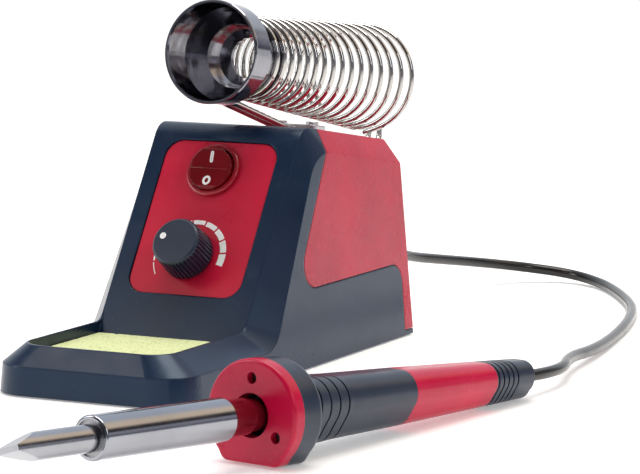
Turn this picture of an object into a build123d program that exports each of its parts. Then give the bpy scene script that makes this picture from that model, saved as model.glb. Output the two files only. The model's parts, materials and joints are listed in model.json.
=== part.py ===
from build123d import *
import os
from math import cos, pi, radians, sin, sqrt, tan

# A soldering iron station: a housing with a sponge tray, a control panel and a
# wire holder, and a soldering iron that lies beside it on its own cord.
# Millimetres. Y is counted from the front wall to the rear and Z from the table,
# and every part is moved at the end so that the origin is the centre of the underside.

os.makedirs("parts", exist_ok=True)

# Housing
LENGTH = 192.0
HALF_WIDTH = 41.0             # at the table
SIDE_LEAN = 0.072             # the side walls lean in by this much per mm of height
REAR_LEAN = 0.035             # and the rear wall by this much
FOOT_GAP = 0.6                # from the table to the housing's lower edge
WALL = 2.2
SEAM = 0.35                   # gap between the base and the red cover

# Sponge tray
TRAY_SPLIT = 30.0             # behind this the tray's sides are straight
TRAY_EDGE = 11.1              # height where the outer wall meets the bevel
TRAY_RIM = 18.5               # height of the inner rim
RIM_HALF_WIDTH = 31.0
RIM_FRONT = 5.8
EDGE_FRONT = 0.8
TRAY_RADIUS = 15.1
RIM_RADIUS = 10.2
RIM_LAND = 0.8
WELL_FLOOR = 5.0
SPONGE_TOP = 14.6
SPONGE_GAP = 0.4

# Front frame and roof
PANEL_FOOT_Y = 73.0
PANEL_FOOT_Z = 29.5
PANEL_LEAN = 32.8             # degrees from upright
PANEL_LENGTH = 64.7
PANEL_HALF_WIDTH = 24.0
PANEL_RADIUS = 7.0
PANEL_THICK = 2.0
PANEL_SUNK = 0.5
PANEL_GAP = 0.3
ROOF_Y = 124.8                # where the cover begins
ROOF_Z = 88.7                 # height of the roof there
ROOF_FALL = 0.158             # the roof falls by this much per mm towards the rear
SHOULDER_DROP = 8.5           # from the roof to the lower edge of its side bevel
FRAME_SETBACK = 10.3          # level distance from the panel's plane to the bevel's outer edge
REAR_TOP_Y = 184.7
REAR_KNEE_Z = 70.0
ROOF_ROLL = 9.5
SHOULDER_ROLL = 18.0
RIM_SWEEP = 6.0
EDGE_SWEEP = 14.0

# Red cover, seen from the side
COVER_LOW = 29.8
COVER_TAIL_Y = 184.5
COVER_TAIL_Z = 2.5
COVER_NOSE_Y = 92.8

# Control panel
CONTROLS_X = -1.2             # the knob and the switch sit a little left of the middle
KNOB_UP = 16.2                # up the panel from its lower edge
KNOB_HEIGHT = 12.6
KNOB_FACE_R = 9.2
KNOB_SKIRT_R = 10.2
KNOB_RIDGES = 40
SHAFT_R = 3.0
SHAFT_CLEARANCE = 0.05
SWITCH_UP = 52.2
BEZEL_R = 10.9
SWITCH_R = 10.5
SWITCH_BORE_R = 9.3
ROCKER_R = 8.75
ROCKER_TILT = 5.5             # degrees each side of level

# Holder
FUNNEL_Y = 97.0
FUNNEL_Z = 119.2
HOLDER_FALL = 8.5             # degrees
FUNNEL_R = 19.5
FUNNEL_BAND = 12.0
FUNNEL_WAIST = 21.0           # where the funnel ends and its cup begins
CUP_R = 14.6
CUP_END = 34.0
THROAT_R = 8.0
COIL_WIRE_R = 1.05
COIL_TURNS = 16
COIL_START = 22.03
COIL_START_R = 15.7
COIL_END_R = 22.7
COIL_PITCH = 5.16
COIL_PITCH_GAIN = 4.14        # over the whole coil
STRUT_R = 1.25
STRUT_SPACING = 5.0

# Iron
IRON_X = 105.8
IRON_Y = -70.85
IRON_HEADING = 258.6          # degrees, the way the tip points in plan
IRON_RISE = 3.3               # degrees, tip up
FLANGE_R = 18.5
FLANGE_FLAT = 15.9            # from the axis to the flat foot
BARREL_R = 7.2
BARREL_START = 15.0
BARREL_END = 77.3
TIP_R = 4.45
TIP_CHISEL = 102.0
TIP_END = 113.5
GRIP_START = -19.5
GROOVES_END = -40.3
GRIP_END = -77.5
SLEEVE_END = -127.7
BOOT_END = -156.0
CORD_R = 2.2

LEAN = tan(radians(PANEL_LEAN))


def outline(points):
    """A closed wire through (u, v, radius) corners. A radius of 0 keeps the corner sharp."""
    count = len(points)
    ends = []
    arcs = []
    for i, (u, v, radius) in enumerate(points):
        corner = Vector(u, v)
        back = (Vector(*points[i - 1][:2]) - corner).normalized()
        ahead = (Vector(*points[(i + 1) % count][:2]) - corner).normalized()
        if radius == 0:
            ends.append((corner, corner))
            arcs.append(None)
            continue
        half = radians(back.get_angle(ahead)) / 2
        reach = radius / tan(half)
        middle = corner + (back + ahead).normalized() * (radius / sin(half) - radius)
        ends.append((corner + back * reach, corner + ahead * reach))
        arcs.append(ThreePointArc(ends[-1][0], middle, ends[-1][1]))
    edges = []
    for i in range(count):
        if arcs[i] is not None:
            edges.append(arcs[i])
        edges.append(Line(ends[i][1], ends[(i + 1) % count][0]))
    return Wire(edges)


def area(points):
    return Face(outline(points))


def inset(points, t):
    """The counter-clockwise outline with every side moved inward by t."""
    sides = []
    for i, point in enumerate(points):
        start = Vector(*point[:2])
        along = (Vector(*points[(i + 1) % len(points)][:2]) - start).normalized()
        sides.append((start + Vector(-along.Y, along.X) * t, along))
    moved = []
    for i, (_, _, radius) in enumerate(points):
        p, d = sides[i - 1]
        q, e = sides[i]
        turn = d.X * e.Y - d.Y * e.X
        step = ((q.X - p.X) * e.Y - (q.Y - p.Y) * e.X) / turn
        corner = p + d * step
        new_radius = 0 if radius == 0 else radius - t if turn > 0 else radius + t
        moved.append((corner.X, corner.Y, new_radius))
    return moved


def rounded_box(width, depth, height, radius):
    """A box on z = 0 with its upright edges rounded."""
    return extrude(RectangleRounded(width, depth, radius), height)


def cylinder(radius, low, high, at=(0, 0)):
    """An upright cylinder between two heights."""
    return Pos(at[0], at[1], low) * extrude(Circle(radius), high - low)


def turned(profile):
    """A solid of revolution about Z from (radius, z) corners."""
    return revolve(Plane.XZ * make_face(Polyline(*profile, close=True)), Axis.Z)


def roof_z(y):
    return ROOF_Z - ROOF_FALL * (y - ROOF_Y)


def panel_y(z):
    return PANEL_FOOT_Y + (z - PANEL_FOOT_Z) * LEAN


def rear_y(z):
    return LENGTH - REAR_LEAN * z


def meet(line_y, line_z, slope, drop):
    """Where the front line y = line_y + slope (z - line_z) meets the roof line lowered by drop."""
    height = roof_z(0) - drop
    y = (line_y + slope * (height - line_z)) / (1 + slope * ROOF_FALL)
    return y, height - ROOF_FALL * y


PANEL = Plane(
    origin=(0, PANEL_FOOT_Y, PANEL_FOOT_Z),
    x_dir=(1, 0, 0),
    z_dir=(0, -cos(radians(PANEL_LEAN)), sin(radians(PANEL_LEAN))),
)
HOLDER = Plane(
    origin=(0, FUNNEL_Y, FUNNEL_Z),
    x_dir=(-1, 0, 0),
    z_dir=(0, cos(radians(HOLDER_FALL)), -sin(radians(HOLDER_FALL))),
)
GLAND_Z = 28.0
REAR = Plane(origin=(0, rear_y(GLAND_Z), GLAND_Z), x_dir=(-1, 0, 0), z_dir=(0, 1, REAR_LEAN))
SADDLE_Y = 168.0
ROOF = Plane(origin=(0, SADDLE_Y, roof_z(SADDLE_Y)), x_dir=(1, 0, 0), z_dir=(0, ROOF_FALL, 1))
IRON_AHEAD = (
    cos(radians(IRON_RISE)) * cos(radians(IRON_HEADING)),
    cos(radians(IRON_RISE)) * sin(radians(IRON_HEADING)),
    sin(radians(IRON_RISE)),
)
FLANGE_BACK = 16.5            # thickness of the whole flange, which stands on its rear edge
IRON_Z = FLANGE_FLAT * cos(radians(IRON_RISE)) + FLANGE_BACK * sin(radians(IRON_RISE))
IRON = Plane(
    origin=(IRON_X, IRON_Y, IRON_Z),
    x_dir=(-sin(radians(IRON_HEADING)), cos(radians(IRON_HEADING)), 0),
    z_dir=IRON_AHEAD,
)

parts = {}


# Housing ------------------------------------------------------------------------------

def rim_corners(start, bottom):
    """Side view of the housing along the inner edge of its bevel, as (y, z, radius)."""
    apex = meet(PANEL_FOOT_Y, PANEL_FOOT_Z, LEAN, 0)
    return [
        (start, bottom, 0),
        (rear_y(bottom), bottom, 0),
        (rear_y(REAR_KNEE_Z), REAR_KNEE_Z, 0),
        (REAR_TOP_Y, roof_z(REAR_TOP_Y), 0),
        (*apex, ROOF_ROLL),
        (panel_y(TRAY_RIM), TRAY_RIM, RIM_SWEEP),
        (start, TRAY_RIM, 0),
    ]


def edge_corners(start, bottom, small):
    """Side view along the outer edge of the bevel, with the same number of corners."""
    knee_y = rear_y(REAR_KNEE_Z)
    slope = LEAN * 0.94
    foot_y = panel_y(TRAY_EDGE) + FRAME_SETBACK + 2.2
    apex = meet(foot_y, TRAY_EDGE, slope, SHOULDER_DROP)
    return [
        (start, bottom, 0),
        (rear_y(bottom), bottom, 0),
        (knee_y, REAR_KNEE_Z - small, 0),
        (knee_y - small, roof_z(knee_y - small) - SHOULDER_DROP, 0),
        (*apex, SHOULDER_ROLL),
        (foot_y, TRAY_EDGE, EDGE_SWEEP),
        (start, TRAY_EDGE, 0),
    ]


def tower(t, bottom):
    """The housing behind the split line, with every wall moved inward by t."""
    rim = area(inset(rim_corners(TRAY_SPLIT - t, bottom), t))
    edge = area(inset(edge_corners(TRAY_SPLIT - t, bottom, 0.6 + t), t))
    half = RIM_HALF_WIDTH - t / 2
    side = Plane(origin=(HALF_WIDTH - t, 0, 0), x_dir=(0, 1, 0), z_dir=(1, 0, SIDE_LEAN))
    centre = extrude(Plane.YZ.offset(-half) * rim, 2 * half)
    right = loft([Plane.YZ.offset(half) * rim, side * edge], ruled=True)
    return centre + right + mirror(right, about=Plane.YZ)


def plan(half, front, rear, radius):
    """Plan view of a tray outline that is open towards the rear."""
    return area([(-half, rear, 0), (-half, front, radius), (half, front, radius), (half, rear, 0)])


def half_width(z):
    return HALF_WIDTH - SIDE_LEAN * z


def tray_front():
    low = Pos(0, 0, FOOT_GAP) * plan(half_width(FOOT_GAP), 0, TRAY_SPLIT, TRAY_RADIUS)
    edge = plan(half_width(TRAY_EDGE), EDGE_FRONT, TRAY_SPLIT, TRAY_RADIUS - 0.5)
    middle = Pos(0, 0, TRAY_EDGE) * edge
    high = Pos(0, 0, TRAY_RIM) * plan(RIM_HALF_WIDTH, RIM_FRONT, TRAY_SPLIT, RIM_RADIUS)
    return loft([low, middle], ruled=True) + loft([middle, high], ruled=True)


def well(grow):
    """The sponge well, up to the panel's plane, grown outward by the given amount."""
    floor = WELL_FLOOR - grow
    top = 45.0
    back = grow * sqrt(1 + LEAN * LEAN)
    front = RIM_FRONT + RIM_LAND - grow
    half = RIM_HALF_WIDTH - RIM_LAND + grow
    side_view = Polyline(
        (0, floor), (panel_y(floor) + back, floor), (panel_y(top) + back, top), (0, top), close=True
    )
    wedge = extrude(Plane.YZ.offset(-half) * make_face(side_view), 2 * half)
    column = Pos(0, 0, floor) * extrude(plan(half, front, 110, RIM_RADIUS - RIM_LAND + grow), top)
    return wedge & column


def panel_slot(margin, deep, out):
    """A rounded block over the control panel's place, from a depth to a height above its plane."""
    block = rounded_box(
        2 * (PANEL_HALF_WIDTH + margin), PANEL_LENGTH + 2 * margin, deep + out, PANEL_RADIUS + margin
    )
    return PANEL * Pos(0, PANEL_LENGTH / 2, -deep) * block


FRAME_WALL = 3.5              # solid frame left around the control panel
FRAME_DEEP = 6.0
PANEL_LEDGE = 1.6             # the ledge that the panel rests on
UNDER_TRAY_TOP = 10.5
TRAY_WALL = 3.2
THROUGH = 20.0                # long enough to cut through any wall
SCREW_BOSSES = [(x, y) for x in (-34, 34) for y in (24, 100, 170)]
BOSS_R = 4.4
BOSS_LOW = 2.6
SCREW_R = 1.5


def housing_shell():
    outside = tray_front() + tower(0, FOOT_GAP)
    below = -5.0
    under_tray = plan(HALF_WIDTH - TRAY_WALL, TRAY_WALL, 60, TRAY_RADIUS - 3)
    hollow = Pos(0, 0, below) * extrude(under_tray, UNDER_TRAY_TOP - below) + tower(WALL, below)
    hollow -= well(2)
    hollow -= panel_slot(FRAME_WALL, FRAME_DEEP, 0)
    shell = outside - hollow
    shell -= well(0)
    shell -= panel_slot(PANEL_GAP, PANEL_THICK + PANEL_SUNK, THROUGH)
    shell -= panel_slot(-PANEL_LEDGE, THROUGH, THROUGH)
    return shell, outside


def cover_region(t):
    """The red cover's outline seen from the side, moved inward by t, as a block across the housing."""
    far_y = LENGTH + 40
    far_z = 130
    points = [
        (COVER_TAIL_Y, COVER_TAIL_Z, 0),
        (far_y, COVER_TAIL_Z, 0),
        (far_y, far_z, 0),
        (ROOF_Y, far_z, 0),
        (ROOF_Y, roof_z(ROOF_Y) - SHOULDER_DROP, 0),
        (COVER_NOSE_Y, COVER_LOW, 9),
        (COVER_TAIL_Y, COVER_LOW, 8),
    ]
    reach = HALF_WIDTH + THROUGH
    return extrude(Plane.YZ.offset(-reach) * area(inset(points, t)), 2 * reach)


shell, outside = housing_shell()
base = shell - cover_region(0)
for x, y in SCREW_BOSSES:
    boss = cylinder(BOSS_R, BOSS_LOW, 10.0, (x, y)) & outside
    base += boss - well(0)
    base -= cylinder(SCREW_R, 0, 9.0, (x, y))
parts["base_housing"] = base

cover = shell & cover_region(SEAM)
GLAND_BODY_R = 6.0
CORD_GLAND_X = 12.0
MAINS_GLAND_X = -16.0
for x in (CORD_GLAND_X, MAINS_GLAND_X):
    cover -= REAR * Pos(-x, 0, -5) * extrude(Circle(GLAND_BODY_R), 10)
SADDLE_SCREW_X = 7.0
for x in (-SADDLE_SCREW_X, SADDLE_SCREW_X):
    cover -= ROOF * Pos(x, 0, -6) * extrude(Circle(SCREW_R), 12)
parts["red_cover"] = cover

# Underside ----------------------------------------------------------------------------

PLATE_TOP = 2.4
PLATE_GAP = 0.5
PAD_R = 7.0
PAD_DEEP = 1.2
PADS = [(x, y) for x in (-24, 24) for y in (16, 178)]
HEAD_SEAT = 1.4               # depth of the screw heads' seats in the plate
VENTS = 7
VENT_PITCH = 7
VENT_FROM_Y = 112

plate_corners = [
    (-HALF_WIDTH + WALL + PLATE_GAP, rear_y(0) - WALL - PLATE_GAP, 2),
    (-HALF_WIDTH + TRAY_WALL + PLATE_GAP, TRAY_WALL + PLATE_GAP, TRAY_RADIUS - 3.5),
    (HALF_WIDTH - TRAY_WALL - PLATE_GAP, TRAY_WALL + PLATE_GAP, TRAY_RADIUS - 3.5),
    (HALF_WIDTH - WALL - PLATE_GAP, rear_y(0) - WALL - PLATE_GAP, 2),
]
plate = extrude(area(plate_corners), PLATE_TOP)
for spot in PADS:
    plate -= cylinder(PAD_R, 0, PAD_DEEP, spot)
for x, y in SCREW_BOSSES:
    plate -= cylinder(SCREW_R + 0.2, 0, 4, (x, y))
    plate -= cylinder(3.2, 0, HEAD_SEAT, (x, y))
vent = extrude(SlotOverall(30, 2.2), PLATE_TOP)
for i in range(VENTS):
    plate -= Pos(0, VENT_FROM_Y + VENT_PITCH * i, 0) * vent
parts["bottom_plate"] = plate
parts["rubber_feet"] = Compound([cylinder(PAD_R, 0, PAD_DEEP, spot) for spot in PADS])


def pan_screw(head_r, head_h, length, radius=SCREW_R):
    """A cross-recessed screw with its head from z = 0 down to -head_h and its shank above."""
    slot_w = 0.5
    head = Pos(0, 0, -head_h) * extrude(Circle(head_r), head_h)
    head = fillet(head.edges().group_by(Axis.Z)[0], head_h * 0.4)
    slots = Box(head_r * 1.1, slot_w, 1.0) + Box(slot_w, head_r * 1.1, 1.0)
    cross = Pos(0, 0, -head_h) * slots
    return head + extrude(Circle(radius), length) - cross


bottom_screw = pan_screw(2.9, 1.2, 6.5)
parts["bottom_screws"] = Compound([Pos(x, y, HEAD_SEAT) * bottom_screw for x, y in SCREW_BOSSES])

# Sponge -------------------------------------------------------------------------------

sponge_layer = Pos(0, 0, WELL_FLOOR) * extrude(Rectangle(2 * LENGTH, 2 * LENGTH), SPONGE_TOP - WELL_FLOOR)
parts["sponge"] = well(-SPONGE_GAP) & sponge_layer

# Control panel ------------------------------------------------------------------------

BUSH_R = 3.5
panel = panel_slot(0, PANEL_THICK + PANEL_SUNK, -PANEL_SUNK)
panel -= PANEL * cylinder(BUSH_R, -THROUGH, THROUGH, (CONTROLS_X, KNOB_UP))
panel -= PANEL * cylinder(SWITCH_R, -THROUGH, THROUGH, (CONTROLS_X, SWITCH_UP))
parts["control_panel"] = panel

FACE = -PANEL_SUNK            # the panel's face, below the frame's plane
BACK = FACE - PANEL_THICK
AT_SWITCH = PANEL * Pos(CONTROLS_X, SWITCH_UP, 0)
AT_KNOB = PANEL * Pos(CONTROLS_X, KNOB_UP, 0)
PIVOT = -0.8                  # the rocker's axis, below the frame's plane
TRUNNION_R = 1.0
TRUNNION_REACH = 9.9          # half the length of the rocker's pin
SWITCH_DEEP = 20.0
BEZEL_TOP = 1.3

switch = cylinder(SWITCH_R, -SWITCH_DEEP, FACE) + cylinder(BEZEL_R, FACE, BEZEL_TOP)
switch = fillet(switch.edges().group_by(Axis.Z)[-1], 0.7)
switch -= cylinder(SWITCH_BORE_R, -9.0, 5.0)
trunnion_hole = extrude(Circle(TRUNNION_R + SHAFT_CLEARANCE), TRUNNION_REACH + 0.1, both=True)
switch -= Pos(0, 0, PIVOT) * (Plane.YZ * trunnion_hole)
parts["switch_body"] = AT_SWITCH * switch

blade = Box(4.8, 0.8, 8.0)
blades = [Pos(0, y, -SWITCH_DEEP - 4) * blade for y in (-5, 0, 5)]
parts["switch_terminals"] = AT_SWITCH * Compound(blades)

rocker_side = [
    (-ROCKER_R - 1, -7), (ROCKER_R + 1, -7), (ROCKER_R + 1, 5.0), (0, 3.6), (-ROCKER_R - 1, 5.0)
]
rocker = extrude(Plane.YZ.offset(-10) * make_face(Polyline(*rocker_side, close=True)), 20)
rocker &= cylinder(ROCKER_R, -7, 6)
rocker &= extrude(Plane.YZ.offset(-10) * Circle(ROCKER_R + 0.25), 20)
rocker += Plane.YZ * extrude(Circle(TRUNNION_R), TRUNNION_REACH, both=True)
AT_ROCKER = AT_SWITCH * Pos(0, 0, PIVOT) * Rot(ROCKER_TILT, 0, 0)
parts["switch_rocker"] = AT_ROCKER * rocker

# Temperature control ------------------------------------------------------------------

KNOB_LOW = 0.4
KNOB_TOP = KNOB_LOW + KNOB_HEIGHT
knob = turned([
    (0, KNOB_LOW), (KNOB_SKIRT_R, KNOB_LOW), (KNOB_SKIRT_R, KNOB_LOW + 1.0),
    (KNOB_FACE_R + 0.5, KNOB_TOP - 1.2), (KNOB_FACE_R, KNOB_TOP - 0.4), (KNOB_FACE_R - 0.5, KNOB_TOP),
    (0, KNOB_TOP),
])
FLUTE_R = 0.42
FLUTE_LEAN = 3.2              # degrees, as the knob narrows towards its face
flute = Rot(0, -FLUTE_LEAN, 0) * cylinder(FLUTE_R, KNOB_LOW - 1, KNOB_TOP - 1.3)
for i in range(KNOB_RIDGES):
    knob -= Rot(0, 0, 360 * i / KNOB_RIDGES) * Pos(KNOB_SKIRT_R - 0.25, 0, KNOB_LOW) * flute
knob -= cylinder(7.4, 0, 4.6)
SHAFT_TOP = KNOB_TOP - 3.0
knob -= cylinder(SHAFT_R, 0, SHAFT_TOP)
POINTER_R = 1.3
POINTER_DEEP = 0.4
POINTER_OUT = 5.8
POINTER_ANGLE = 163.0
pointer_spot = (POINTER_OUT * cos(radians(POINTER_ANGLE)), POINTER_OUT * sin(radians(POINTER_ANGLE)))
knob -= cylinder(POINTER_R, KNOB_TOP - POINTER_DEEP, KNOB_TOP + 1, pointer_spot)
parts["dial_knob"] = AT_KNOB * knob
pointer = cylinder(POINTER_R, KNOB_TOP - POINTER_DEEP, KNOB_TOP + 0.05, pointer_spot)
parts["knob_pointer"] = AT_KNOB * pointer

POT_R = 8.2
POT_DEEP = 10.0
parts["potentiometer_shaft"] = AT_KNOB * cylinder(SHAFT_R, BACK - POT_DEEP + 2, SHAFT_TOP)
pot = cylinder(POT_R, BACK - POT_DEEP, BACK) + cylinder(BUSH_R, BACK, FACE + 3.0)
pot += Pos(0, -POT_R, BACK - 4) * Box(12, 6, 2)
pot -= cylinder(SHAFT_R + SHAFT_CLEARANCE, BACK - POT_DEEP + 2, FACE + 6)
parts["potentiometer_body"] = AT_KNOB * pot
nut = extrude(RegularPolygon(5.6, 6), 2.0) - extrude(Circle(BUSH_R), 4)
parts["potentiometer_nut"] = AT_KNOB * Pos(0, 0, FACE) * nut

# Dial scale: segments that widen clockwise, printed in a shallow layer.
SCALE_R = 15.1
PRINT = 0.06
marks = []
SCALE_COUNT = 10
SCALE_FROM = 214.0
SCALE_STEP = 23.0
SCALE_GAP = 3.0
SCALE_THIN = 0.35             # width of the first segment
SCALE_GAIN = 0.27             # and how much wider each next one is
for i in range(SCALE_COUNT):
    high = radians(SCALE_FROM - SCALE_STEP * i)
    low = high - radians(SCALE_STEP - SCALE_GAP)
    ring = Circle(SCALE_R) - Circle(SCALE_R - SCALE_THIN - SCALE_GAIN * i)
    far = 2 * SCALE_R
    sides = [(far * cos(angle), far * sin(angle)) for angle in (low, high)]
    wedge = make_face(Polyline((0, 0), *sides, close=True))
    marks.append(extrude(ring, PRINT) & extrude(wedge, PRINT))
parts["dial_scale"] = AT_KNOB * Pos(0, 0, FACE) * Compound(marks)

# Electronics --------------------------------------------------------------------------

BOARD_Z = 14.0
BOARD_Y = 143.0
BOARD_W = 52.0
BOARD_L = 64.0
BOARD_SCREWS = [(x, y) for x in (-22, 22) for y in (BOARD_Y - 28, BOARD_Y + 28)]

board = Pos(0, BOARD_Y, BOARD_Z) * rounded_box(BOARD_W, BOARD_L, 1.6, 2)
for spot in BOARD_SCREWS:
    board -= cylinder(SCREW_R, BOARD_Z - 1, BOARD_Z + 4, spot)
parts["control_board"] = board
standoffs = [
    cylinder(3.2, PLATE_TOP, BOARD_Z, spot) - cylinder(SCREW_R, PLATE_TOP + 3, BOARD_Z, spot)
    for spot in BOARD_SCREWS
]
parts["board_standoffs"] = Compound(standoffs)
board_screw = Rot(180, 0, 0) * pan_screw(2.8, 1.6, 7.0)
parts["board_screws"] = Compound([Pos(x, y, BOARD_Z + 1.6) * board_screw for x, y in BOARD_SCREWS])

DECK = BOARD_Z + 1.6
triac = Box(10, 4.4, 9) + Pos(0, 1.6, 7.0) * Box(10, 1.2, 6)
for x in (-2.5, 2.5):
    triac += Pos(x, 0, -6.5) * Box(0.8, 0.6, 4)
parts["power_triac"] = Pos(0, 135, DECK + 8.5) * triac

SINK_H = 24.0
SINK_FINS = 6
FIN_PITCH = 4.6
sink = Pos(0, 138.6, DECK) * extrude(Rectangle(26, 2.4), SINK_H)
fin = extrude(Rectangle(1.2, 11), SINK_H)
for i in range(SINK_FINS):
    sink += Pos((i - (SINK_FINS - 1) / 2) * FIN_PITCH, 145.2, DECK) * fin
parts["triac_heat_sink"] = sink

AT_FUSE = Pos(18, 134, DECK)
FUSE_HALF = 7.9
FUSE_R = 2.5
FUSE_HEIGHT = 6.5
fuse_holder = rounded_box(7, 24, 4, 1)
for side in (-1, 1):
    fuse_holder += Pos(0, side * (FUSE_HALF + 0.6), 6) * Box(7, 1.2, 6)
parts["fuse_holder"] = AT_FUSE * fuse_holder
parts["fuse"] = AT_FUSE * Pos(0, 0, FUSE_HEIGHT) * Rot(-90, 0, 0) * cylinder(FUSE_R, -FUSE_HALF, FUSE_HALF)

TERMINALS = 4
TERMINAL_PITCH = 7.0
block = rounded_box(30, 12, 10, 1)
for i in range(TERMINALS):
    block -= cylinder(2.2, 6, 10, ((i - (TERMINALS - 1) / 2) * TERMINAL_PITCH, -2))
parts["terminal_block"] = Pos(0, 166, DECK) * block

CAPACITOR_R = 5.0
capacitor = Rot(0, 90, 0) * cylinder(CAPACITOR_R, -9, 9)
parts["mains_capacitor"] = Pos(-16, 122, DECK + CAPACITOR_R) * fillet(capacitor.edges(), 1.2)

# Glands in the rear wall --------------------------------------------------------------

RELIEF = 16.0


def gland(end_r):
    body = turned([
        (0, -5), (GLAND_BODY_R, -5), (GLAND_BODY_R, 0), (8.0, 0), (8.0, 1.6), (7.2, 2.4), (5.2, 2.4),
        (end_r, RELIEF), (0, RELIEF),
    ])
    for z in (5.2, 8.6, 12.0):
        body -= cylinder(10, z, z + 1.2) - cylinder(2.9, z, z + 1.2)
    return body


parts["iron_cord_gland"] = REAR * Pos(-CORD_GLAND_X, 0, 0) * gland(3.2)
parts["mains_cord_gland"] = REAR * Pos(-MAINS_GLAND_X, 0, 0) * gland(3.6)

# Holder -------------------------------------------------------------------------------

CUP_MOUTH_R = 12.5

parts["holder_funnel"] = HOLDER * turned([
    (FUNNEL_R - 0.7, 0), (FUNNEL_R + 0.1, 0), (FUNNEL_R + 0.4, 0.5), (FUNNEL_R + 0.1, 1.0),
    (FUNNEL_R, 1.6), (FUNNEL_R, FUNNEL_BAND), (FUNNEL_R - 0.9, FUNNEL_BAND + 1.2), (17.0, 15.5),
    (CUP_R, 19.0), (CUP_R, FUNNEL_WAIST), (CUP_MOUTH_R, FUNNEL_WAIST), (16.6, 15.2), (18.0, 13.0),
    (FUNNEL_R - 1, 1.0),
])
parts["funnel_cup"] = HOLDER * turned([
    (CUP_MOUTH_R, FUNNEL_WAIST), (CUP_R, FUNNEL_WAIST), (CUP_R, CUP_END), (THROAT_R, CUP_END),
    (THROAT_R, 32.0), (11.0, 28.0),
])


def coil_spot(turn):
    """Axial distance and radius of the coil's centre line after so many turns."""
    along = COIL_START + COIL_PITCH * turn + COIL_PITCH_GAIN * turn * turn / (2 * COIL_TURNS)
    whole = (COIL_PITCH + COIL_PITCH_GAIN / 2) * COIL_TURNS
    radius = COIL_START_R + (COIL_END_R - COIL_START_R) * (along - COIL_START) / whole
    return along, radius


def coil_wire():
    """Half turns as flat arcs between the coil's lowest and highest lines, which join smoothly."""
    arcs = []
    for i in range(2 * COIL_TURNS):
        low_z, low_r = coil_spot(i / 2)
        high_z, high_r = coil_spot((i + 1) / 2)
        sign = -1 if i % 2 == 0 else 1
        start = Vector(0, sign * low_r, low_z)
        end = Vector(0, -sign * high_r, high_z)
        centre = (start + end) * 0.5
        bulge = Vector(-sign * (end - start).length / 2, 0, 0)
        arcs.append(ThreePointArc(start, centre + bulge, end))
    return Wire(arcs)


wire = coil_wire()
start_section = Plane(origin=wire @ 0, z_dir=wire % 0) * Circle(COIL_WIRE_R)
coil = sweep(start_section, path=wire)
parts["holder_coil"] = HOLDER * coil
print("coil volume", round(coil.volume), "of", round(wire.length * pi * COIL_WIRE_R ** 2))

STRUT_HIGH = (110.7, 98.95)    # just below the funnel's waist
STRUT_LAND_Y = 157.0
STRUT_REAR_Y = 239.5


def strut_path():
    lift = STRUT_R + 0.05
    half = STRUT_SPACING / 2
    land = (STRUT_LAND_Y, roof_z(STRUT_LAND_Y) + lift)
    rear = (STRUT_REAR_Y, roof_z(STRUT_REAR_Y) + lift)
    hook = (STRUT_REAR_Y + 0.8, roof_z(STRUT_REAR_Y) + lift + 6.0)
    one_side = [(half, *hook), (half, *rear), (half, *land), (half, *STRUT_HIGH)]
    other_side = [(-x, y, z) for x, y, z in reversed(one_side)]
    radii = [3.0, 12.0, 2.3, 2.3, 12.0, 3.0]
    return FilletPolyline(*one_side, *other_side, radius=radii)


strut = strut_path()
strut_section = Plane(origin=strut @ 0, z_dir=strut % 0) * Circle(STRUT_R)
parts["holder_bracket"] = sweep(strut_section, path=strut)

SADDLE_H = 3.4
CHANNEL_R = STRUT_R + 0.05
saddle = extrude(RectangleRounded(22, 11, 2), SADDLE_H)
channel = Rot(-90, 0, 0) * extrude(Circle(CHANNEL_R), 8, both=True)
channel = Pos(0, 0, CHANNEL_R) * channel + Pos(0, 0, 0.6) * Box(2 * CHANNEL_R, 20, 1.3)
for side in (-1, 1):
    saddle -= Pos(side * STRUT_SPACING / 2, 0, 0) * channel
    saddle -= cylinder(SCREW_R, -1, 5, (side * SADDLE_SCREW_X, 0))
saddle = fillet(saddle.edges().group_by(Axis.Z)[-1], 0.5)
parts["bracket_saddle"] = ROOF * saddle
saddle_screw = Rot(180, 0, 0) * pan_screw(2.6, 1.4, 8.6)
saddle_spots = [Pos(side * SADDLE_SCREW_X, 0, SADDLE_H) for side in (-1, 1)]
parts["saddle_screws"] = ROOF * Compound([spot * saddle_screw for spot in saddle_spots])

# Iron ---------------------------------------------------------------------------------


def three_sided(radius):
    """A circle flattened softly on three sides."""
    face = RegularPolygon(1.90 * radius, 3, major_radius=True, rotation=-90)
    return fillet(face.vertices(), 0.80 * radius)


def handle(stations):
    """A ruled loft through (distance along the axis, radius) stations."""
    return loft([Pos(0, 0, s) * three_sided(r) for s, r in stations], ruled=True)


def flange_outline(radius, flat):
    foot = area([
        (-0.62 * radius, -flat, 3.6), (0.62 * radius, -flat, 3.6), (0.93 * radius, -0.36 * radius, 0),
        (-0.93 * radius, -0.36 * radius, 0),
    ])
    ring = Circle(radius) - Pos(0, -flat - 10) * Rectangle(60, 20)
    return ring + foot


TIP_START = 44.0
TIP_BORE_END = 66.0
tip = cylinder(TIP_R, TIP_START, TIP_END)
chisel_length = TIP_END - TIP_CHISEL
for side in (-1, 1):
    wedge = Polyline(
        (side * TIP_R, TIP_CHISEL), (side * 8, TIP_CHISEL), (side * 8, TIP_END + 1),
        (side * 0.9, TIP_END + 1), (side * 0.9, TIP_END), close=True,
    )
    tip -= extrude(Plane.YZ.offset(-8) * make_face(wedge), 16)
tip -= cylinder(2.6, TIP_START, TIP_BORE_END)
parts["iron_tip"] = IRON * Rot(0, 0, 18) * tip

parts["heater_element"] = IRON * cylinder(2.5, 12, TIP_BORE_END - 1)

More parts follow.
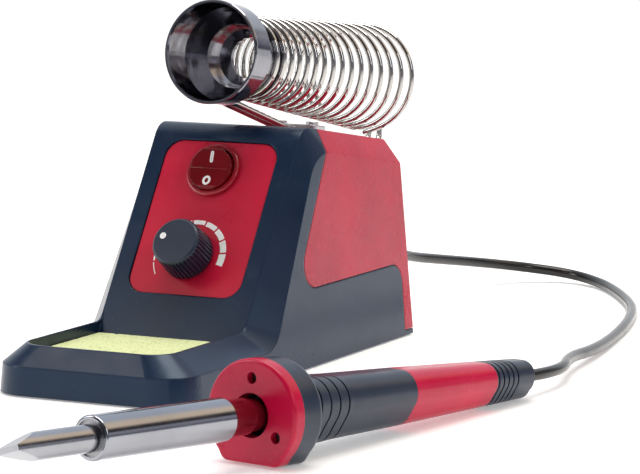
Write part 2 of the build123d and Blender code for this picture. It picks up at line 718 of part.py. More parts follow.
barrel = cylinder(BARREL_R, BARREL_START, BARREL_END)
barrel = fillet(barrel.edges().group_by(Axis.Z)[-1], 0.8)
barrel = chamfer(barrel.edges().group_by(Axis.Z)[0], 0.4)
barrel -= cylinder(BARREL_R - 0.8, BARREL_START - 1, BARREL_END - 3)
barrel -= cylinder(5.9, BARREL_END - 5, BARREL_END + 1)
parts["iron_barrel"] = IRON * barrel

ring = cylinder(5.9, BARREL_END - 3, BARREL_END - 0.8) - cylinder(TIP_R, BARREL_END - 4, BARREL_END)
parts["tip_collet"] = IRON * ring

COLLAR_R = 6.0
collar = turned([
    (2.5, -12), (COLLAR_R - 0.8, -12), (COLLAR_R - 0.8, -2), (COLLAR_R, 4), (COLLAR_R, BARREL_START - 1.5),
    (BARREL_R - 0.8, BARREL_START - 0.5), (BARREL_R - 0.8, 24), (2.5, 24),
])
parts["heater_collar"] = IRON * collar

HOLE_R = 7.3
RED_THICK = 5.0
SCREW_CIRCLE = 0.66 * FLANGE_R
SCREW_ANGLES = (90, 210, 330)
flange = Pos(0, 0, -RED_THICK) * extrude(flange_outline(FLANGE_R, FLANGE_FLAT), RED_THICK)
flange = fillet(flange.edges().group_by(Axis.Z)[-1], 1.2)
flange -= cylinder(HOLE_R, -20, 5)
grip_head = Pos(0, 0, -FLANGE_BACK) * extrude(
    flange_outline(FLANGE_R - 0.3, FLANGE_FLAT), FLANGE_BACK - RED_THICK
)
grip_head = fillet(grip_head.edges().group_by(Axis.Z)[0], 3.2)
grip_neck = turned([(0, -FLANGE_BACK + 0.1), (14.4, -FLANGE_BACK + 0.1), (11.6, GRIP_START), (0, GRIP_START)])

for angle in SCREW_ANGLES:
    spot = (SCREW_CIRCLE * cos(radians(angle)), SCREW_CIRCLE * sin(radians(angle)))
    flange -= cylinder(1.9, -3.4, 1, spot)
    flange -= cylinder(1.0, -8, 1, spot)
    grip_head -= cylinder(1.0, -11, 1, spot)
parts["flange_ring"] = IRON * flange
flange_screw = Rot(180, 0, 0) * pan_screw(1.8, 0.9, 7.0, 1.0)
flange_screws = [
    Pos(SCREW_CIRCLE * cos(radians(a)), SCREW_CIRCLE * sin(radians(a)), -3.4) * flange_screw
    for a in SCREW_ANGLES
]
parts["flange_screws"] = IRON * Compound(flange_screws)

GROOVES = [-21.5 - 5.3 * i for i in range(4)]
GROOVE_W = 0.9
grip = handle([(GRIP_START, 11.7), (GROOVES_END, 10.6), (GRIP_END, 9.6)])
core_of_grip = handle([(GRIP_START, 11.0), (GROOVES_END, 9.9), (GRIP_END, 8.9)])
for s in GROOVES:
    grip -= cylinder(20, s - GROOVE_W, s) - core_of_grip
grip = grip + grip_head + grip_neck
grip -= cylinder(HOLE_R, -10, 0)
grip -= cylinder(COLLAR_R - 0.8, -12, -4)
CORE_R = 5.2
grip -= cylinder(CORE_R, GRIP_END - 1, -12)
parts["front_grip"] = IRON * grip

sleeve = handle([(GRIP_END, 9.6), (SLEEVE_END, 7.8)]) - cylinder(CORE_R, SLEEVE_END - 1, GRIP_END + 1)
parts["red_sleeve"] = IRON * sleeve

boot = handle([(SLEEVE_END, 7.8), (BOOT_END + 4, 6.9)])
boot_core = handle([(SLEEVE_END, 7.1), (BOOT_END + 4, 6.2)])
for i in range(5):
    s = SLEEVE_END - 0.6 - 3.1 * i
    boot -= cylinder(20, s - 0.9, s) - boot_core
boot += turned([
    (0, BOOT_END + 4), (6.2, BOOT_END + 4), (5.9, BOOT_END + 2.2), (4.9, BOOT_END + 0.7),
    (3.4, BOOT_END), (0, BOOT_END),
])
boot -= cylinder(CORE_R, SLEEVE_END - 6, SLEEVE_END + 1)
parts["cord_boot"] = IRON * boot

core = cylinder(CORE_R, SLEEVE_END - 6, -12) - cylinder(2.5, -40, 0)
parts["handle_core"] = IRON * core

# Iron cord ----------------------------------------------------------------------------

cord_exit = (REAR * Pos(-CORD_GLAND_X, 0, RELIEF)).position
iron_rear = (IRON * Pos(0, 0, BOOT_END)).position
after_exit = (REAR * Pos(-CORD_GLAND_X, 0, RELIEF + 20)).position
before_iron = (IRON * Pos(0, 0, BOOT_END - 24)).position
cord_route = [
    tuple(cord_exit),
    tuple(after_exit),
    (7, 256, 21.5),
    (9, 290, 16),
    (13, 320, 11.2),
    (22, 343.5, 7),
    (43, 352, 4.2),
    (63.5, 341, 2.4),
    (83, 314, CORD_R),
    (101, 282, CORD_R),
    (113, 244, CORD_R),
    (121.5, 205, CORD_R),
    (128, 168, 3.6),
    (131, 137, 6),
    tuple(before_iron),
    tuple(iron_rear),
]


def route_radii(route):
    """The largest arc that each corner's two runs allow."""
    radii = []
    for before, at, after in zip(route, route[1:], route[2:]):
        back = Vector(*at) - Vector(*before)
        ahead = Vector(*after) - Vector(*at)
        turn = radians(back.get_angle(ahead))
        radii.append(0.45 * min(back.length, ahead.length) / tan(turn / 2))
    return radii


cord_radii = route_radii(cord_route)
cord_path = FilletPolyline(*cord_route, radius=cord_radii)
cord_section = Plane(origin=cord_path @ 0, z_dir=cord_path % 0) * Circle(CORD_R)
cord = sweep(cord_section, path=cord_path)
parts["iron_cord"] = cord
print("cord radii", [round(r) for r in cord_radii])
print("cord length", round(cord_path.length, 1), "volume", round(cord.volume),
      "of", round(cord_path.length * pi * CORD_R ** 2))

# Export -------------------------------------------------------------------------------

to_origin = Pos(0, -LENGTH / 2, 0)
for name, part in parts.items():
    export_step(to_origin * part, f"parts/{name}.step")


def placed(spot):
    return [round(value / 1000, 5) for value in (to_origin * Pos(*spot)).position]


print("route", [placed(point) for point in cord_route])
print("knob axis", placed(AT_KNOB.position), [round(v, 4) for v in PANEL.z_dir])
print("rocker pivot", placed((AT_SWITCH * Pos(0, 0, PIVOT)).position))
print("funnel", placed(HOLDER.origin), "iron", placed(IRON.origin), [round(v, 4) for v in IRON.z_dir])
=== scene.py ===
import json
import math

import bpy
from mathutils import Matrix, Vector, noise


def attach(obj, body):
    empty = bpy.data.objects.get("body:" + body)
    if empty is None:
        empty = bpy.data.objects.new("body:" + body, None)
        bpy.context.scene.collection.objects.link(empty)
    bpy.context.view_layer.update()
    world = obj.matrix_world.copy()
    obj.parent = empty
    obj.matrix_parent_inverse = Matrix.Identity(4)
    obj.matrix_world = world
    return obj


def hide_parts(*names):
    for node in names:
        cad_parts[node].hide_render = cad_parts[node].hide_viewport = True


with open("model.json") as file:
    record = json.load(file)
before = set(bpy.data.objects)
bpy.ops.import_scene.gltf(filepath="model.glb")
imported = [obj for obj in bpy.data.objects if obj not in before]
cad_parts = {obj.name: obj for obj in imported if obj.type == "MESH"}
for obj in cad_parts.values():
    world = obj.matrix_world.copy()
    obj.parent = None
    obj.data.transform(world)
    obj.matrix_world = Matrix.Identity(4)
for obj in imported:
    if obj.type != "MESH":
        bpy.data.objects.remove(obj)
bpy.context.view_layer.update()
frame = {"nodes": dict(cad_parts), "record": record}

NODES = frame["nodes"]
JOINTS = {joint["name"]: joint for joint in frame["record"]["behaviour"]["joints"]}
MM = 0.001

# Camera -------------------------------------------------------------------------------

CAMERA_AT = (0.5919, -1.0841, 0.2145)
CAMERA_AZIMUTH = 26.906
CAMERA_ELEVATION = 7.711
CAMERA_LENS = 183.8
CAMERA_SHIFT = (0.0196, 0.0049)
SENSOR_WIDTH = 36
VIEW_END = 60


def make_camera():
    data = bpy.data.cameras.new("camera")
    camera = bpy.data.objects.new("camera", data)
    bpy.context.scene.collection.objects.link(camera)
    camera.location = CAMERA_AT
    camera.rotation_euler = (
        math.radians(90 - CAMERA_ELEVATION), 0, math.radians(CAMERA_AZIMUTH)
    )
    data.lens = CAMERA_LENS
    data.sensor_width = SENSOR_WIDTH
    data.shift_x, data.shift_y = CAMERA_SHIFT
    data.clip_end = VIEW_END
    bpy.context.scene.camera = camera


# Sizes of the CAD model that the visual pieces follow, in millimetres and degrees -----

# Holder: its axis starts at the funnel's mouth and falls to the rear.
HOLDER_AT = Vector((0, 0.001, 0.1192))
HOLDER_FALL = 8.5
COIL_TURNS = 16
COIL_WIRE_R = 1.05
COIL_START, COIL_PITCH, COIL_PITCH_GAIN = 22.03, 5.16, 4.14
COIL_START_R, COIL_END_R = 15.7, 22.7

# Rocker: heights and reaches from its pivot.
PANEL_LEAN = 32.8
ROCKER_TILT = 5.5
ROCKER_MIDDLE = 3.6
ROCKER_RISE = 1.4
ROCKER_REACH = 9.75
ON_MARK_OUT = 4.5
OFF_MARK_OUT = 5.2
MARK_THICK = 0.05
MARK_LIFT = 0.02
MARK_POINTS = 48

# Shader helpers -----------------------------------------------------------------------


class NodeGraph:
    """Nodes of a material or of the world, each made and linked by a short call."""

    def __init__(self, tree):
        self.tree = tree

    def add(self, kind, **settings):
        node = self.tree.nodes.new(kind)
        for key, value in settings.items():
            setattr(node, key, value)
        return node

    def link(self, source, target):
        self.tree.links.new(source, target)

    def ramp(self, source, stops):
        """A colour ramp through (place, colour) stops."""
        node = self.add("ShaderNodeValToRGB")
        elements = node.color_ramp.elements
        while len(elements) < len(stops):
            elements.new(0.5)
        for element, (place, color) in zip(elements, stops):
            element.position = place
            element.color = (*color, 1)
        self.link(source, node.inputs["Fac"])
        return node.outputs["Color"]

    def span(self, source, low, high, from_low=0.3, from_high=0.7):
        """Maps from_low to from_high, by default a texture's middle range, onto low to high."""
        node = self.add("ShaderNodeMapRange")
        node.inputs["From Min"].default_value = from_low
        node.inputs["From Max"].default_value = from_high
        node.inputs["To Min"].default_value = low
        node.inputs["To Max"].default_value = high
        self.link(source, node.inputs["Value"])
        return node.outputs["Result"]

    def mix(self, factor, first, second):
        """Mixes two colours, each a socket or a value."""
        node = self.add("ShaderNodeMix", data_type="RGBA")
        for place, value in ((0, factor), (6, first), (7, second)):
            if isinstance(value, bpy.types.NodeSocket):
                self.link(value, node.inputs[place])
            else:
                node.inputs[place].default_value = value if place == 0 else (*value, 1)
        return node.outputs[2]


class Shader(NodeGraph):
    """A material under construction: a Principled shader and the nodes that feed it."""

    def __init__(self, name, **sockets):
        self.material = bpy.data.materials.new(name)
        self.material.use_nodes = True
        super().__init__(self.material.node_tree)
        self.shader = self.tree.nodes["Principled BSDF"]
        for socket, value in sockets.items():
            self.shader.inputs[socket.replace("_", " ")].default_value = value
        self.coordinates = self.add("ShaderNodeTexCoord").outputs["Object"]

    def feed(self, socket, source):
        self.link(source, self.shader.inputs[socket])

    def stretched(self, scale, turn=(0, 0, 0)):
        """Coordinates turned and scaled along each axis, for streaks."""
        node = self.add("ShaderNodeMapping")
        node.inputs["Scale"].default_value = scale
        node.inputs["Rotation"].default_value = turn
        self.link(self.coordinates, node.inputs["Vector"])
        return node.outputs["Vector"]

    def noise(self, scale, detail=3.0, roughness=0.5, vector=None):
        node = self.add("ShaderNodeTexNoise")
        node.inputs["Scale"].default_value = scale
        node.inputs["Detail"].default_value = detail
        node.inputs["Roughness"].default_value = roughness
        self.link(vector or self.coordinates, node.inputs["Vector"])
        return node.outputs["Fac"]

    def cells(self, scale):
        """Distance to the nearest point of a random scatter, for pores."""
        node = self.add("ShaderNodeTexVoronoi")
        node.inputs["Scale"].default_value = scale
        self.link(self.coordinates, node.inputs["Vector"])
        return node.outputs["Distance"]

    def edge(self, radius):
        """(normal with rounded edges, a mask that is 1 along the edges)."""
        bevel = self.add("ShaderNodeBevel", samples=4)
        bevel.inputs["Radius"].default_value = radius
        plain = self.add("ShaderNodeNewGeometry")
        dot = self.add("ShaderNodeVectorMath", operation="DOT_PRODUCT")
        self.link(bevel.outputs["Normal"], dot.inputs[0])
        self.link(plain.outputs["Normal"], dot.inputs[1])
        mask = self.span(dot.outputs["Value"], 1.0, 0.0, 0.82, 0.995)
        return bevel.outputs["Normal"], mask

    def bump(self, height, strength, distance, normal=None):
        node = self.add("ShaderNodeBump")
        node.inputs["Strength"].default_value = strength
        node.inputs["Distance"].default_value = distance
        self.link(height, node.inputs["Height"])
        if normal is not None:
            self.link(normal, node.inputs["Normal"])
        self.feed("Normal", node.outputs["Normal"])


def lighter(color, factor, lift=0.0):
    return tuple(min(1, c * factor + lift) for c in color)


def moulded(name, color, roughness, grain=0.10, edge=0.0004, edge_wear_and_highlight=0.35, edge_highlight_lift=0.04, **sockets):
    """Moulded plastic: a fine spark-eroded grain, cloudy gloss, and edges painted lighter in patches,
    partly as rubbing and partly as a painted highlight.
    """
    s = Shader(name, **sockets)
    cloud = s.noise(28, 4)
    body = s.ramp(cloud, [(0.35, lighter(color, 0.88)), (0.65, lighter(color, 1.10))])
    normal, mask = s.edge(edge)
    scuffs = s.span(s.noise(420, 5, 0.7), 0, edge_wear_and_highlight, 0.45, 0.75)
    # Painted highlight and wear: the edge mask times scuff noise lightens the edges, partly as worn plastic
    # and partly as a painted highlight.
    rubbed_and_highlit_edges = s.add("ShaderNodeMath", operation="MULTIPLY")
    s.link(mask, rubbed_and_highlit_edges.inputs[0])
    s.link(scuffs, rubbed_and_highlit_edges.inputs[1])
    s.feed("Base Color", s.mix(rubbed_and_highlit_edges.outputs[0], body, lighter(color, 1.6, edge_highlight_lift)))
    s.feed("Roughness", s.span(s.noise(75, 5, 0.6), roughness - 0.04, roughness + 0.05))
    s.bump(s.noise(4200, 2, 0.6), grain, 0.00006, normal)
    return s.material


def metal(name, color, roughness, streak=(2600, 2600, 2600), scratches=0.05):
    """Bare metal: handling haze, fine scratches, and streaks where it was turned or drawn."""
    s = Shader(name, Metallic=1.0)
    haze = s.noise(45, 5, 0.6)
    s.feed("Base Color", s.ramp(haze, [(0.3, lighter(color, 0.93)), (0.7, lighter(color, 1.04))]))
    s.feed("Roughness", s.span(s.noise(130, 6, 0.65), roughness, roughness * 1.7 + 0.01))
    lines = s.noise(1, 3, 0.6, s.stretched(streak))
    s.bump(lines, scratches, 0.00003)
    return s.material


# Materials ----------------------------------------------------------------------------

NAVY = (0.007, 0.018, 0.046)
RED = (0.48, 0.008, 0.034)
CRIMSON = (0.50, 0.008, 0.038)


def sponge_material():
    """Damp cellulose: open pores of several sizes in a pale yellow-green body, with painted shade darkening
    each pore.
    """
    s = Shader("sponge_cellulose", Roughness=0.85, Specular_IOR_Level=0.3)
    s.shader.inputs["Sheen Weight"].default_value = 0.15
    s.shader.inputs["Subsurface Weight"].default_value = 0.15
    s.shader.inputs["Subsurface Radius"].default_value = (0.004, 0.004, 0.002)
    # Painted shade: the colour darkens toward the middle of each small and each large pore.
    pores = s.ramp(s.cells(900), [(0.16, (0.38, 0.44, 0.17)), (0.34, (0.70, 0.77, 0.40))])
    large = s.span(s.cells(260), 0.0, 1.0, 0.10, 0.24)
    s.feed("Base Color", s.mix(large, (0.50, 0.55, 0.20), pores))
    s.bump(s.cells(900), 0.7, 0.0004)
    return s.material


def rocker_material():
    """Clear red polycarbonate over a dark switch."""
    s = Shader("rocker_red", Roughness=0.08, IOR=1.58, Coat_Weight=0.6, Coat_Roughness=0.04)
    s.shader.inputs["Transmission Weight"].default_value = 0.35
    s.feed("Base Color", s.ramp(s.noise(60, 3), [(0.3, (0.20, 0.002, 0.006)), (0.7, (0.30, 0.004, 0.010))]))
    s.feed("Roughness", s.span(s.noise(220, 4), 0.06, 0.12))
    normal, _ = s.edge(0.0004)
    s.bump(s.noise(1500, 2), 0.03, 0.00003, normal)
    return s.material


def rubber(name, color, roughness, grain=0.2, **sockets):
    """Elastomer: a soft matt skin with a fine sandy grain, a dusty mottle, and edges painted lighter as a
    highlight.
    """
    s = Shader(name, **sockets)
    dust = s.noise(160, 6, 0.7)
    normal, mask = s.edge(0.0003)
    body = s.ramp(dust, [(0.35, lighter(color, 0.9)), (0.7, lighter(color, 1.15, 0.004))])
    # Painted highlight: the edge mask lightens the colour along every edge by up to 30 percent.
    s.feed("Base Color", s.mix(s.span(mask, 0, 0.3, 0, 1), body, lighter(color, 2.0, 0.02)))
    s.feed("Roughness", s.span(s.noise(90, 4), roughness - 0.05, roughness + 0.06))
    s.bump(s.noise(5200, 3, 0.7), grain, 0.00008, normal)
    return s.material


def board_material():
    """Lacquered circuit board with faint weave and copper tracks under the mask."""
    s = Shader("board_lacquer", Roughness=0.35, Coat_Weight=0.3)
    tracks = s.add("ShaderNodeTexBrick")
    tracks.inputs["Scale"].default_value = 220
    tracks.inputs["Color1"].default_value = (0.010, 0.10, 0.035, 1)
    tracks.inputs["Color2"].default_value = (0.012, 0.12, 0.040, 1)
    tracks.inputs["Mortar"].default_value = (0.02, 0.20, 0.07, 1)
    s.link(s.coordinates, tracks.inputs["Vector"])
    s.feed("Base Color", tracks.outputs["Color"])
    s.bump(s.noise(1400, 3), 0.1, 0.00005)
    return s.material


def ink(name):
    """Screen-printed white ink, a little uneven at its edges."""
    s = Shader(name, Roughness=0.5)
    s.feed("Base Color", s.ramp(s.noise(900, 4), [(0.3, (0.76, 0.76, 0.77)), (0.7, (0.88, 0.88, 0.88))]))
    s.bump(s.noise(2600, 2), 0.05, 0.00003)
    return s.material


def spun_chrome():
    """Chromed sheet with the fine rings that the spinning tool left around the holder's axis."""
    s = Shader("funnel_chrome", Metallic=1.0)
    s.feed("Base Color", s.ramp(s.noise(60, 4), [(0.3, (0.22, 0.22, 0.25)), (0.7, (0.31, 0.31, 0.34))]))
    s.feed("Roughness", s.span(s.noise(170, 5, 0.65), 0.07, 0.16))
    turned = s.stretched((260, 260, 2400), (math.radians(90 + HOLDER_FALL), 0, 0))
    s.bump(s.noise(1, 3, 0.6, turned), 0.10, 0.00004)
    return s.material


def glass_material():
    s = Shader("fuse_glass", Roughness=0.05, IOR=1.5)
    s.shader.inputs["Transmission Weight"].default_value = 0.9
    s.feed("Base Color", s.ramp(s.noise(120, 2), [(0.3, (0.90, 0.93, 0.94)), (0.7, (0.96, 0.98, 0.98))]))
    return s.material


def make_materials():
    chrome = metal("chrome", (0.52, 0.50, 0.48), 0.03, scratches=0.015)
    funnel = spun_chrome()
    steel = metal("zinc_steel", (0.56, 0.56, 0.58), 0.24, scratches=0.10)
    dark = moulded(
        "housing_dark", NAVY, 0.24, edge=0.0008, Specular_IOR_Level=0.42, Specular_Tint=(0.65, 0.82, 1, 1)
    )
    red = moulded(
        "cover_red", RED, 0.27, edge=0.0008, Specular_IOR_Level=0.36, Specular_Tint=(0.7, 0.8, 1, 1)
    )
    component = moulded("component_black", (0.018, 0.018, 0.020), 0.5)
    handle_red = moulded("handle_red", (0.52, 0.004, 0.045), 0.24, Specular_IOR_Level=0.32)
    grip = rubber("grip_dark", (0.009, 0.019, 0.042), 0.33, Specular_IOR_Level=0.45)
    relief = rubber("rubber_black", (0.022, 0.022, 0.024), 0.55)
    return {
        "base_housing": dark,
        "bottom_plate": moulded("plate_dark", (0.016, 0.018, 0.022), 0.5, grain=0.2),
        "red_cover": red,
        "control_panel": moulded("panel_crimson", CRIMSON, 0.30, Specular_IOR_Level=0.30),
        "rubber_feet": relief,
        "iron_cord_gland": relief,
        "mains_cord_gland": relief,
        "bottom_screws": steel,
        "board_screws": steel,
        "saddle_screws": steel,
        "flange_screws": metal("screw_black", (0.10, 0.08, 0.08), 0.3, scratches=0.1),
        "board_standoffs": steel,
        "potentiometer_body": steel,
        "potentiometer_shaft": steel,
        "potentiometer_nut": steel,
        "bracket_saddle": steel,
        "sponge": sponge_material(),
        "switch_body": moulded("bezel_red", (0.34, 0.008, 0.020), 0.18, grain=0.03, Coat_Weight=0.4),
        "switch_rocker": rocker_material(),
        "switch_terminals": metal("brass", (0.72, 0.52, 0.22), 0.22),
        "dial_knob": moulded("knob_dark", (0.006, 0.018, 0.046), 0.32, grain=0.14, edge=0.0003),
        "knob_pointer": ink("pointer_white"),
        "dial_scale": ink("scale_white"),
        "control_board": board_material(),
        "power_triac": component,
        "fuse_holder": component,
        "terminal_block": moulded("terminal_grey", (0.05, 0.07, 0.06), 0.45),
        "mains_capacitor": moulded("capacitor_sleeve", (0.02, 0.025, 0.05), 0.3),
        "handle_core": component,
        "triac_heat_sink": metal("aluminium", (0.74, 0.74, 0.76), 0.28, streak=(300, 300, 9000)),
        "fuse": glass_material(),
        "holder_funnel": funnel,
        "funnel_cup": funnel,
        "holder_coil": chrome,
        "holder_bracket": chrome,
        "iron_tip": metal("tip_plating", (0.36, 0.37, 0.40), 0.14, scratches=0.02),
        "iron_barrel": metal("barrel_steel", (0.33, 0.34, 0.375), 0.10, scratches=0.02),
        "tip_collet": metal("collet_steel", (0.35, 0.35, 0.37), 0.25),
        "heater_element": moulded("heater_ceramic", (0.72, 0.69, 0.62), 0.6),
        "heater_collar": moulded("collar_red", (0.13, 0.004, 0.010), 0.15, grain=0.03, Coat_Weight=0.5),
        "flange_ring": handle_red,
        "red_sleeve": handle_red,
        "front_grip": grip,
        "cord_boot": grip,
        "iron_cord": rubber(
            "cord_jacket", (0.012, 0.012, 0.012), 0.13, grain=0.03, Specular_IOR_Level=0.36
        ),
    }


def give(piece, material):
    piece.data.materials.clear()
    piece.data.materials.append(material)


# Pieces -------------------------------------------------------------------------------


def curve_piece(name, kind, points, radius, resolution):
    data = bpy.data.curves.new(name, "CURVE")
    data.dimensions = "3D"
    data.bevel_depth = radius
    data.bevel_resolution = 6
    data.use_fill_caps = True
    data.resolution_u = resolution
    spline = data.splines.new(kind)
    spline.points.add(len(points) - 1)
    for point, place in zip(spline.points, points):
        point.co = (*place, 1)
    piece = bpy.data.objects.new(name, data)
    bpy.context.scene.collection.objects.link(piece)
    return piece, spline


def mesh_piece(name, vertices, faces):
    data = bpy.data.meshes.new(name)
    data.from_pydata([tuple(v) for v in vertices], [], faces)
    data.validate()
    piece = bpy.data.objects.new(name, data)
    bpy.context.scene.collection.objects.link(piece)
    return piece


# Iron cord: the route of the CAD tube, in metres.
CORD_RADIUS = 0.0022
CORD_ROUTE = [
    (0.012, 0.11101, 0.02856),
    (0.012, 0.131, 0.02926),
    (0.007, 0.16, 0.0215),
    (0.009, 0.194, 0.016),
    (0.013, 0.224, 0.0112),
    (0.022, 0.2475, 0.007),
    (0.043, 0.256, 0.0042),
    (0.0635, 0.245, 0.0024),
    (0.083, 0.218, 0.0022),
    (0.101, 0.186, 0.0022),
    (0.113, 0.148, 0.0022),
    (0.1215, 0.109, 0.0022),
    (0.128, 0.072, 0.0036),
    (0.131, 0.041, 0.006),
    (0.14132, 0.00931, 0.00646),
    (0.13658, -0.01418, 0.00784),
]


def make_cord(material):
    cord, spline = curve_piece("iron_cord_jacket", "NURBS", CORD_ROUTE, CORD_RADIUS, 24)
    spline.order_u = 3
    spline.use_endpoint_u = True
    give(cord, material)
    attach(cord, "root")
    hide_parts("iron_cord")


def coil_points(steps=12):
    """The coil's centre line: it starts at the bottom and its pitch and radius grow to the rear."""
    fall = math.radians(HOLDER_FALL)
    along_axis = Vector((0, math.cos(fall), -math.sin(fall)))
    up = Vector((0, math.sin(fall), math.cos(fall)))
    whole = (COIL_PITCH + COIL_PITCH_GAIN / 2) * COIL_TURNS
    points = []
    for i in range(COIL_TURNS * steps + 1):
        turn = i / steps
        travel = COIL_PITCH * turn + COIL_PITCH_GAIN * turn * turn / (2 * COIL_TURNS)
        radius = COIL_START_R + (COIL_END_R - COIL_START_R) * travel / whole
        angle = math.tau * turn
        out = Vector((-math.sin(angle), 0, 0)) - up * math.cos(angle)
        points.append(HOLDER_AT + (along_axis * (COIL_START + travel) + out * radius) * MM)
    return points


def make_coil(material):
    coil, spline = curve_piece("holder_coil_wire", "NURBS", coil_points(), COIL_WIRE_R * MM, 6)
    spline.order_u = 4
    spline.use_endpoint_u = True
    give(coil, material)
    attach(coil, "root")
    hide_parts("holder_coil")


def ring_faces(outer, inner):
    """Faces between two closed loops of the same number of vertices."""
    count = len(outer)
    return [(outer[i], outer[(i + 1) % count], inner[(i + 1) % count], inner[i]) for i in range(count)]


def printed_mark(name, outline, hole, place):
    """A raised flat mark from an outline and a hole, in mm on the plane that place gives."""
    loops = [
        [(u, v, 0) for u, v in outline], [(u, v, MARK_THICK) for u, v in outline],
        [(u, v, MARK_THICK) for u, v in hole], [(u, v, 0) for u, v in hole],
    ]
    count = len(outline)
    vertices = [place @ Vector(spot) for loop in loops for spot in loop]
    rows = [list(range(k * count, (k + 1) * count)) for k in range(4)]
    faces = []
    for first, second in zip(rows, rows[1:] + rows[:1]):
        faces += ring_faces(first, second)
    return mesh_piece(name, vertices, faces)


def oval(width, height):
    angles = [math.tau * i / MARK_POINTS for i in range(MARK_POINTS)]
    return [(width / 2 * math.cos(angle), height / 2 * math.sin(angle)) for angle in angles]


def bar(width, height):
    """An upright bar with round ends."""
    points = []
    for i in range(MARK_POINTS):
        angle = math.tau * i / MARK_POINTS
        side = 1 if math.sin(angle) >= 0 else -1
        points.append((
            width / 2 * math.cos(angle), side * (height - width) / 2 + width / 2 * math.sin(angle)
        ))
    return points


def make_rocker_marks(material):
    """The on and off marks, on the two slopes of the rocker's top."""
    pivot = Vector(JOINTS["power_rocker"]["pos_m"])
    lean = math.radians(PANEL_LEAN)
    panel = Matrix((
        (1, 0, 0),
        (0, math.sin(lean), -math.cos(lean)),
        (0, math.cos(lean), math.sin(lean)),
    )).to_4x4()
    rocker = Matrix.Translation(pivot) @ panel @ Matrix.Rotation(math.radians(ROCKER_TILT), 4, "X")
    slope = math.atan2(ROCKER_RISE, ROCKER_REACH)
    marks = {
        "rocker_on_mark": (1, ON_MARK_OUT, bar(1.3, 4.6), bar(0.2, 3.5)),
        "rocker_off_mark": (-1, OFF_MARK_OUT, oval(3.4, 4.0), oval(1.5, 2.1)),
    }
    for name, (side, out, outline, hole) in marks.items():
        height = ROCKER_MIDDLE + ROCKER_RISE * out / ROCKER_REACH + MARK_LIFT
        on_slope = Matrix.Translation(Vector((0, side * out, height)) * MM)
        place = rocker @ on_slope @ Matrix.Rotation(side * slope, 4, "X") @ Matrix.Scale(MM, 4)
        mark = printed_mark(name, outline, hole, place)
        give(mark, material)
        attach(mark, "rocker")


SPONGE_VOXEL = 0.0008
SPONGE_SMOOTHING = 6
SMALL_PORES, LARGE_PORES = 420, 150
PORE_DEEPEST = 0.9


def make_sponge(material):
    """The sponge block, remeshed finely, softened at its edges and opened by pores of two sizes."""
    data = NODES["sponge"].data.copy()
    sponge = bpy.data.objects.new("sponge_block", data)
    bpy.context.scene.collection.objects.link(sponge)
    remesh = sponge.modifiers.new("remesh", "REMESH")
    remesh.mode = "VOXEL"
    remesh.voxel_size = SPONGE_VOXEL
    soften = sponge.modifiers.new("soften", "SMOOTH")
    soften.iterations = SPONGE_SMOOTHING
    depsgraph = bpy.context.evaluated_depsgraph_get()
    fine = bpy.data.meshes.new_from_object(sponge.evaluated_get(depsgraph))
    sponge.modifiers.clear()
    sponge.data = fine
    normals = [v.normal.copy() for v in fine.vertices]
    for vertex, normal in zip(fine.vertices, normals):
        small = noise.voronoi(vertex.co * SMALL_PORES)[0][0]
        large = noise.voronoi(vertex.co * LARGE_PORES + Vector((7, 3, 5)))[0][0]
        pore = max(0, 0.42 - small) * 0.9 + max(0, 0.30 - large) * 1.8
        vertex.co -= normal * min(PORE_DEEPEST, pore) * MM
    for polygon in fine.polygons:
        polygon.use_smooth = True
    give(sponge, material)
    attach(sponge, "sponge")
    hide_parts("sponge")


# Stage and light ----------------------------------------------------------------------


FLOOR_WIDTH = 2.6
WHITE = (1.0, 1.0, 1.0)
CEILING = (0.9, 0.88, 0.84)
SHADE = (0.05, 0.05, 0.06)
WORLD_STRENGTH = 1.05


def make_floor():
    bpy.ops.mesh.primitive_plane_add(size=1, location=(0, 0, 0))
    floor = bpy.context.object
    floor.name = "floor"
    floor.scale = (FLOOR_WIDTH, FLOOR_WIDTH, 1)
    s = Shader("floor_white", Roughness=0.7, Specular_IOR_Level=0.1, Emission_Strength=0.28)
    s.shader.inputs["Emission Color"].default_value = (*WHITE, 1)
    s.feed("Base Color", s.ramp(s.noise(3, 3), [(0.3, (0.93, 0.93, 0.93)), (0.7, (0.95, 0.95, 0.95))]))
    give(floor, s.material)


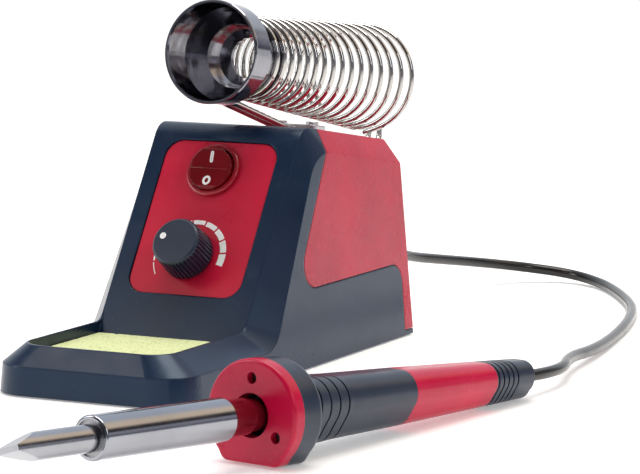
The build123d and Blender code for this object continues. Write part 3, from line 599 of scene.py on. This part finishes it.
def make_world():
    """A white sweep behind the object, a banded room to its right, and a dim room in front of it."""
    world = bpy.data.worlds.new("studio")
    bpy.context.scene.world = world
    world.use_nodes = True
    sky = NodeGraph(world.node_tree)
    split = sky.add("ShaderNodeSeparateXYZ")
    sky.link(sky.add("ShaderNodeTexCoord").outputs["Generated"], split.inputs["Vector"])
    height = sky.span(split.outputs["Z"], 0, 1, -1, 1)
    to_behind = sky.span(split.outputs["Y"], 0, 1, -0.35, 0.35)
    to_right = sky.span(split.outputs["X"], 0, 1, 0.15, 0.35)
    behind = sky.ramp(height, [(0.0, WHITE), (0.52, WHITE), (0.75, (0.72, 0.80, 0.92)), (1.0, CEILING)])
    ahead = sky.ramp(height, [
        (0.0, WHITE), (0.495, WHITE), (0.53, (0.30, 0.30, 0.33)),
        (0.66, SHADE), (0.90, SHADE), (1.0, CEILING),
    ])
    beside = sky.ramp(height, [
        (0.0, WHITE), (0.50, WHITE), (0.515, (0.06, 0.06, 0.08)),
        (0.55, (0.30, 0.31, 0.38)), (0.61, (0.52, 0.51, 0.56)), (0.64, (0.04, 0.04, 0.05)),
        (0.70, (0.10, 0.09, 0.09)), (0.74, (1.3, 1.02, 0.74)), (1.0, CEILING),
    ])
    room = sky.mix(to_behind, ahead, sky.mix(to_right, behind, beside))
    background = sky.tree.nodes["Background"]
    sky.link(room, background.inputs["Color"])
    background.inputs["Strength"].default_value = WORLD_STRENGTH


def softbox(name, at, look_at, width, height, watts, color=(1, 1, 1)):
    data = bpy.data.lights.new(name, "AREA")
    data.shape = "RECTANGLE"
    data.size = width
    data.size_y = height
    data.energy = watts
    data.color = color
    light = bpy.data.objects.new(name, data)
    bpy.context.scene.collection.objects.link(light)
    light.location = at
    light.visible_camera = False
    light.rotation_euler = (Vector(look_at) - Vector(at)).to_track_quat("-Z", "Y").to_euler()


def make_lights():
    centre = (0.03, 0, 0.05)
    tray = (-0.01, -0.09, 0.015)
    softbox("overhead", (0.0, 0.25, 1.7), centre, 1.3, 1.0, 22, (1.0, 0.96, 0.90))
    softbox("left_front", (-1.3, -0.9, 0.8), centre, 0.5, 0.8, 7)
    softbox("right_front", (1.5, -0.5, 0.9), centre, 0.5, 0.7, 4, (0.9, 0.95, 1.0))
    softbox("tray_card", (-0.26, -0.37, 0.40), tray, 0.16, 0.08, 0.18, (1.0, 0.80, 0.64))


bpy.context.scene.view_settings.view_transform = "Standard"

make_camera()
MATERIALS = make_materials()
for node, piece in NODES.items():
    give(piece, MATERIALS[node])
make_cord(MATERIALS["iron_cord"])
make_coil(MATERIALS["holder_coil"])
make_rocker_marks(MATERIALS["dial_scale"])
make_sponge(MATERIALS["sponge"])
make_floor()
make_world()
make_lights()
